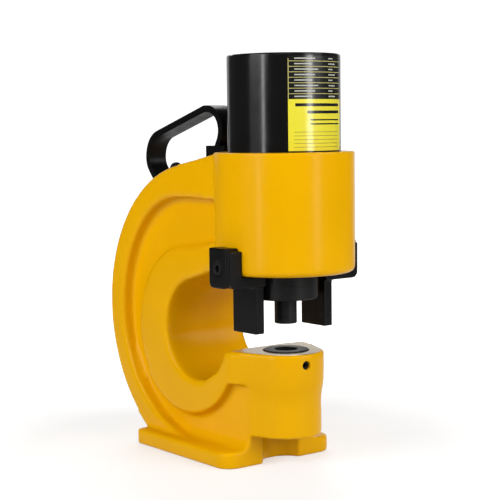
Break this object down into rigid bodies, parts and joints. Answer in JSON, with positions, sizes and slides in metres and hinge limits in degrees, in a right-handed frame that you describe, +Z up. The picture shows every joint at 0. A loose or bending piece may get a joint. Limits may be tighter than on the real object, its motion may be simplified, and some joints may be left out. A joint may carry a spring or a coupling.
{
  "type": "hydraulic hole punch",
  "caption": "Bench-top hydraulic hole punch: yellow cast C frame, black ram cylinder screwed into its head, punch on a ring nut over a die in the anvil, side strippers, carrying handle.",
  "frame": {"origin": "centre of the underside of the base plate, on the plane that the punch stands on", "axes": "+X towards the open front of the throat, +Y to the left seen from behind, +Z up along the ram"},
  "size_m": [0.2849, 0.1536, 0.371],
  "materials": {
    "yellow_paint": "gloss yellow paint over cast steel",
    "black_paint": "satin black paint",
    "black_steel": "black oxide",
    "ground_steel": "ground and hard plated",
    "spring_steel": "oiled spring wire",
    "bronze": "turned",
    "seal_rubber": "matt black",
    "ring_nylon": "plain",
    "plated_steel": "zinc plated",
    "copper": "annealed copper",
    "label_film": "printed film, no text"
  },
  "bodies": {
    "frame": {"c_frame": "yellow_paint", "cylinder": "black_paint", "guide_bush": "bronze", "rod_wiper": "seal_rubber", "return_spring": "spring_steel", "die": "black_steel", "stripper_left": "black_paint", "stripper_right": "black_paint", "stripper_screws": "black_steel", "handle": "black_paint", "handle_screws": "black_steel", "plug_screw": "black_steel", "port_adapter": "plated_steel", "port_washer": "copper", "coupler_body": "plated_steel", "poppet_spring": "spring_steel", "rating_plate": "label_film"},
    "ram": {"ram": "ground_steel", "piston_seal": "seal_rubber", "backup_ring": "ring_nylon", "wear_ring": "ring_nylon"},
    "punch": {"punch": "black_steel"},
    "punch_nut": {"punch_nut": "black_steel"},
    "die_set_screw": {"die_set_screw": "black_steel"},
    "coupler_poppet": {"coupler_poppet": "bronze"},
    "dust_cap": {"dust_cap": "seal_rubber"}
  },
  "joints": [
    {"name": "ram_stroke", "type": "slide", "parent": "frame", "child": "ram", "axis": [0, 0, -1], "range_m": [0, 0.028], "stiffness_N_per_m": 4000, "springref_m": -0.02, "deforming": ["return_spring"]},
    {"name": "punch_drop", "type": "slide", "parent": "ram", "child": "punch", "axis": [0, 0, -1], "range_m": [0, 0.006]},
    {"name": "punch_nut_turn", "type": "hinge", "parent": "punch", "child": "punch_nut", "pos_m": [0.08155, 0, 0.16375], "axis": [0, 0, -1], "range_deg": [0, 480]},
    {"name": "die_set_screw_turn", "type": "hinge", "parent": "frame", "child": "die_set_screw", "pos_m": [0.08155, 0, 0.0948], "axis": [0.9925, -0.1219, 0], "range_deg": [0, 1080]},
    {"name": "poppet_slide", "type": "slide", "parent": "frame", "child": "coupler_poppet", "axis": [0.7771, -0.6293, 0], "range_m": [0, 0.004], "stiffness_N_per_m": 2000, "springref_m": -0.004, "deforming": ["poppet_spring"]},
    {"name": "dust_cap_pull", "type": "slide", "parent": "frame", "child": "dust_cap", "axis": [-0.7771, 0.6293, 0], "range_m": [0, 0.03]}
  ],
  "couplings": [
    {"joint": "punch_nut_turn", "follows": "punch_drop", "rad_per_m": 1396.3}
  ]
}
